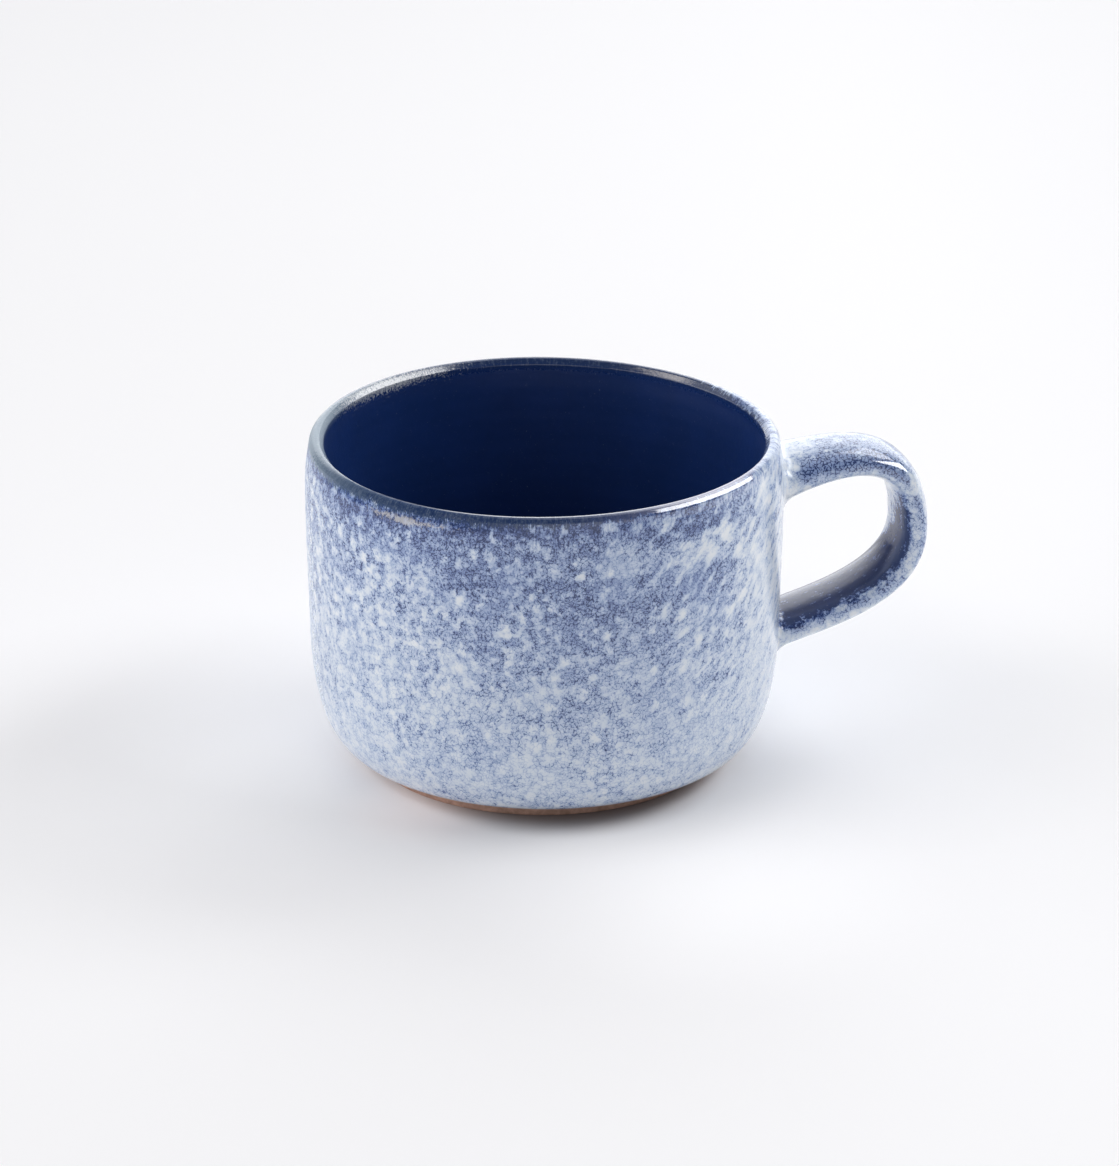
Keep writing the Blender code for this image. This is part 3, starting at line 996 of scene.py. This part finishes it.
def glaze_colours(g, place, over_lip, grain):
    """Colour of the whole mug's glaze at a way past the lip's crest."""
    streak = runs(g, place, over_lip)
    soft = g.swing(place, 0.5, 3.0, 0.6)
    ragged = g.swing(g.warp(place, 1.5, 0.5), 1.7, 3.0, 0.7)

    # How far a point lies past the ragged edge of the sprayed glaze, in mm
    bare = g.math("SUBTRACT", over_lip, g.field("bleed"))
    bare = g.total(bare, g.product(streak, 4.5), g.product(soft, 2.2), g.product(ragged, 3.0))

    # The speckle darkens on the strap's sheltered face and as it thins out towards that edge
    shelter = g.field("shelter")
    brushed = g.swing(g.field("lay", "Vector"), 1.1, 3.0, 0.6)
    hidden = g.total(shelter, g.product(soft, 1.2), g.product(brushed, 1.4), g.product(ragged, 1.2))
    dark = g.total(speckle(g, place), g.product(g.ramp(hidden, 0.15, 0.95), g.ramp(shelter, 0.0, 0.15)))
    streaked = g.product(streak, g.ramp(bare, -8.0, -1.0), 0.7)
    dark = g.total(dark, g.ramp(bare, -5.0, -0.4, 0.0, 0.30), streaked)
    colour = g.colours(dark, GLAZE_COLOURS)
    sandy = g.ramp(g.total(g.field("sand"), g.product(ragged, 2.4), g.product(soft, 1.2)), 0.45, 0.95)
    colour = g.mix(g.product(sandy, 0.65), colour, SAND)

    colour = g.mix(g.ramp(bare, -0.5, 0.4), colour, lip_colours(g, over_lip, streak, ragged))
    # Painted highlight: cream along the crest and just inside it, at the front
    crest = g.product(g.ramp(over_lip, -0.25, 0.0), g.ramp(over_lip, 1.25, 1.0), g.field("crest"))
    colour = g.mix(g.product(crest, g.ramp(ragged, -0.30, -0.05)), colour, CREAM)
    # Painted glare in silver, broken by grain, just inside the lip at the back left
    sparkle = g.product(g.math("SUBTRACT", grain, 0.5), 2.2)
    glare_share = g.total(g.field("painted_glare"), sparkle, g.product(streak, 0.8))
    colour = g.mix(g.product(g.ramp(glare_share, 0.35, 1.05), 0.85), colour, GLARE_SILVER)

    inside = g.ramp(over_lip, 0.5, 4.0)
    cloud = g.ramp(g.noise(place, 0.09, 3.0, 0.5), 0.35, 0.65)
    colour = g.mix(g.product(cloud, inside, 0.35), colour, BRIGHT_COBALT)
    return g.mix(g.product(g.ramp(grain, 0.62, 0.72), inside, 0.34), colour, COBALT_FLECK)


def glaze_relief(g, place, over_lip, grain):
    """Ripples and fine grain. Wet glaze is smoother, and the worn lip is grainier."""
    gloss_here = g.field("gloss")
    ripples = g.product(g.noise(place, 0.45), g.ramp(gloss_here, 0.0, 0.6, 1.0, 0.3))
    worn = g.product(g.field("wear"), g.ramp(over_lip, -3.0, 0.0), 1.6)
    grains = g.product(grain, g.math("ADD", worn, g.ramp(gloss_here, 0.0, 0.6, 0.35, 0.05)))
    return g.bump(grains, 0.03, g.bump(ripples, 0.05))


def glaze(name):
    """The whole mug's glaze: sprayed speckle outside, thin on the lip, and satin cobalt inside."""
    material, g, place = new_material(name)
    over_lip = g.field("over_lip")
    wear = g.field("wear")
    gloss_here = g.field("gloss")
    grain = g.noise(place, 2.4, 3.0, 0.65)
    satin = g.math("MAXIMUM", g.product(wear, wear, 0.30), g.product(g.ramp(over_lip, 1.5, 4.5), 0.26))
    roughness = g.total(g.ramp(grain, 0.3, 0.7, 0.10, 0.18), satin)
    g.surface(
        Base_Color=glaze_colours(g, place, over_lip, grain),
        Roughness=g.math("MAXIMUM", g.total(roughness, g.product(gloss_here, -0.08)), 0.05),
        Normal=glaze_relief(g, place, over_lip, grain),
        IOR=1.62,
        Specular_IOR_Level=g.total(g.ramp(over_lip, 3.0, 7.0, 0.5, 0.32), g.product(gloss_here, 0.65)),
    )
    return material


def bare_clay(name, tint):
    """Fired clay with soft clouds of a darker tone and dark grit."""
    material, g, place = new_material(name)
    grit = g.noise(place, 4.0, 3.0, 0.7)
    shade = tuple(0.62 * channel for channel in tint)
    colour = g.mix(g.ramp(g.noise(place, 0.5, 4.0, 0.6), 0.3, 0.7), shade, tint)
    colour = g.mix(g.ramp(grit, 0.58, 0.72, 0.0, 0.5), colour, GRIT)
    g.surface(
        Base_Color=colour,
        Roughness=g.ramp(grit, 0.3, 0.7, 0.7, 0.9),
        Normal=g.bump(grit, 0.06),
        IOR=1.45,
    )
    return material


# Studio


def direction(azimuth, elevation):
    """The way from the cup. Azimuth 0 is to the camera's right and 90 is behind the cup."""
    a = math.radians(azimuth) + VIEW_TURN
    e = math.radians(elevation)
    return Vector((math.cos(a) * math.cos(e), math.sin(a) * math.cos(e), math.sin(e)))


def from_view(azimuth, elevation, distance):
    """The place at a distance from the cup's middle."""
    return Vector((0, 0, HEIGHT / 2)) + distance * direction(azimuth, elevation)


def aim(obj, target, roll=0.0):
    """Turn a lamp or the camera towards a target, and roll it about its own view."""
    turn = (target - obj.location).to_track_quat("-Z", "Y")
    obj.rotation_euler = (turn @ Quaternion((0, 0, 1), roll)).to_euler()


def softbox(name, azimuth, elevation, size, radiance, colour, roll):
    """A square-edged soft light, aimed at the cup."""
    light = bpy.data.lights.new(name, "AREA")
    light.shape = "RECTANGLE"
    light.size, light.size_y = size
    light.energy = radiance * math.pi * size[0] * size[1]
    light.color = colour
    obj = bpy.data.objects.new(name, light)
    obj.location = from_view(azimuth, elevation, SOFTBOX_DISTANCE)
    aim(obj, Vector((0, 0, HEIGHT / 2)), math.radians(roll))
    obj.visible_camera = False
    bpy.context.scene.collection.objects.link(obj)


def room():
    """Pale walls glow round the horizon and behind the cup. The camera sees plain white."""
    world = bpy.data.worlds.new("room")
    world.use_nodes = True
    g = Graph(world.node_tree)
    way = g.coordinates("Generated")
    light = ROOM_LIGHT
    for azimuth, elevation, spread, amount in ROOM_GLOWS:
        glow = g.vector("DOT_PRODUCT", way, tuple(direction(azimuth, elevation)))
        light = g.total(light, g.ramp(glow, math.cos(math.radians(spread)), 1.0, 0.0, amount))
    seen = g.new("ShaderNodeLightPath").outputs["Is Camera Ray"]
    background = g.new("ShaderNodeBackground")
    g.feed(background.inputs["Color"], g.mix(seen, ROOM_TINT, BACKDROP))
    g.feed(background.inputs["Strength"], g.blend(seen, light, 1.0))
    output = g.new("ShaderNodeOutputWorld")
    g.feed(output.inputs[0], background.outputs[0])
    bpy.context.scene.world = world


def floor_glow(g, place):
    """The floor's painted glow, which lifts it: less under the cup and to its right, as painted shade, and
    more far away.
    """
    near = g.vector("DISTANCE", place, UNDER_CUP_SHADOW)
    glow = g.mix(g.ramp(near, *UNDER_CUP_SHADOW_EDGE, UNDER_CUP_SHADOW_SHARE, 1.0), (0.0, 0.0, 0.0), GLOW_TINT)
    rightward = g.vector("DOT_PRODUCT", place, tuple(direction(0, 0)))
    even = g.ramp(rightward, *FLOOR_GLOW_FADES, FLOOR_GLOW, FADED_SHARE * FLOOR_GLOW)
    return g.scale(glow, g.math("ADD", g.ramp(near, *FAR_FLOOR, 0.0, FAR_FLOOR_GLOW), even))


def floor():
    """A wide pale floor, with a painted contact shadow where the foot meets it and painted light from the mug
    here and there.
    """
    bpy.ops.mesh.primitive_plane_add(size=FLOOR_SIZE)
    obj = bpy.context.object
    obj.name = "floor"
    material, g, place = new_material("pale_floor")
    # Painted contact shadow: the floor's colour and its glow darken near the foot
    contact_shadow_distance = g.vector("DISTANCE", place, tuple(direction(CONTACT_SHADOW_TURN, 0) * CONTACT_SHADOW_OUT))
    shade = g.ramp(contact_shadow_distance, *CONTACT_SHADOW_EDGE, CONTACT_SHADOW_SHARE, 1.0)
    colour = g.mix(g.ramp(g.noise(place, 0.002), 0.3, 0.7), *FLOOR_TINTS)
    glow = g.scale(floor_glow(g, place), shade)
    for azimuth, distance, reach, strength, tint in FLOOR_BOUNCES:
        away = g.vector("DISTANCE", place, tuple(direction(azimuth, 0) * distance))
        share = g.product(g.ramp(away, reach, 0.0, 0.0, strength), shade)
        glow = g.vector("ADD", glow, g.scale(tint, share))
    g.surface(
        Base_Color=g.mix(shade, CONTACT_SHADOW_TINT, colour),
        Roughness=0.9,
        IOR=1.2,
        Emission_Color=glow,
        Emission_Strength=1.0,
    )
    obj.data.materials.append(material)


def camera():
    """A long lens, from above the cup's front."""
    data = bpy.data.cameras.new("camera")
    data.sensor_width = SENSOR
    data.lens = FOCAL_SHARE * SENSOR
    data.shift_x, data.shift_y = VIEW_SHIFT
    data.clip_start, data.clip_end = 0.01, 50
    obj = bpy.data.objects.new("camera", data)
    obj.location = from_view(-90, VIEW_RISE, VIEW_DISTANCE)
    aim(obj, Vector((0, 0, HEIGHT / 2)))
    bpy.context.scene.collection.objects.link(obj)
    bpy.context.scene.camera = obj


def studio():
    """Everything round the mug: room, lights, floor and camera."""
    room()
    for name, settings in SOFTBOXES.items():
        softbox(name, *settings)
    floor()
    camera()
    bpy.context.scene.view_settings.view_transform = "Standard"


# Whole mug


def dress(obj, material, node):
    """Give a new piece its material, and let it stand for a node of the model."""
    obj.data.materials.append(material)
    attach(obj, "root")
    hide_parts(node)


def paint(node, material):
    """Give a node of the model its material."""
    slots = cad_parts[node].data.materials
    slots.clear()
    slots.append(material)


def main():
    """Build the mug and its studio."""
    coat = glaze("speckled_glaze")
    clay = bare_clay("bare_clay", CLAY)
    slip = bare_clay("bare_slip", SLIP)
    dress(outer_coat(), coat, "outer_glaze")
    dress(strap_coat(), coat, "handle_glaze")
    dress(lip_coat(), coat, "rim_glaze")
    dress(liner_coat(), coat, "liner_glaze")
    dress(clay_cup(), clay, "cup_body")
    paint("handle", clay)
    paint("upper_slip_joint", slip)
    paint("lower_slip_joint", slip)
    studio()


main()
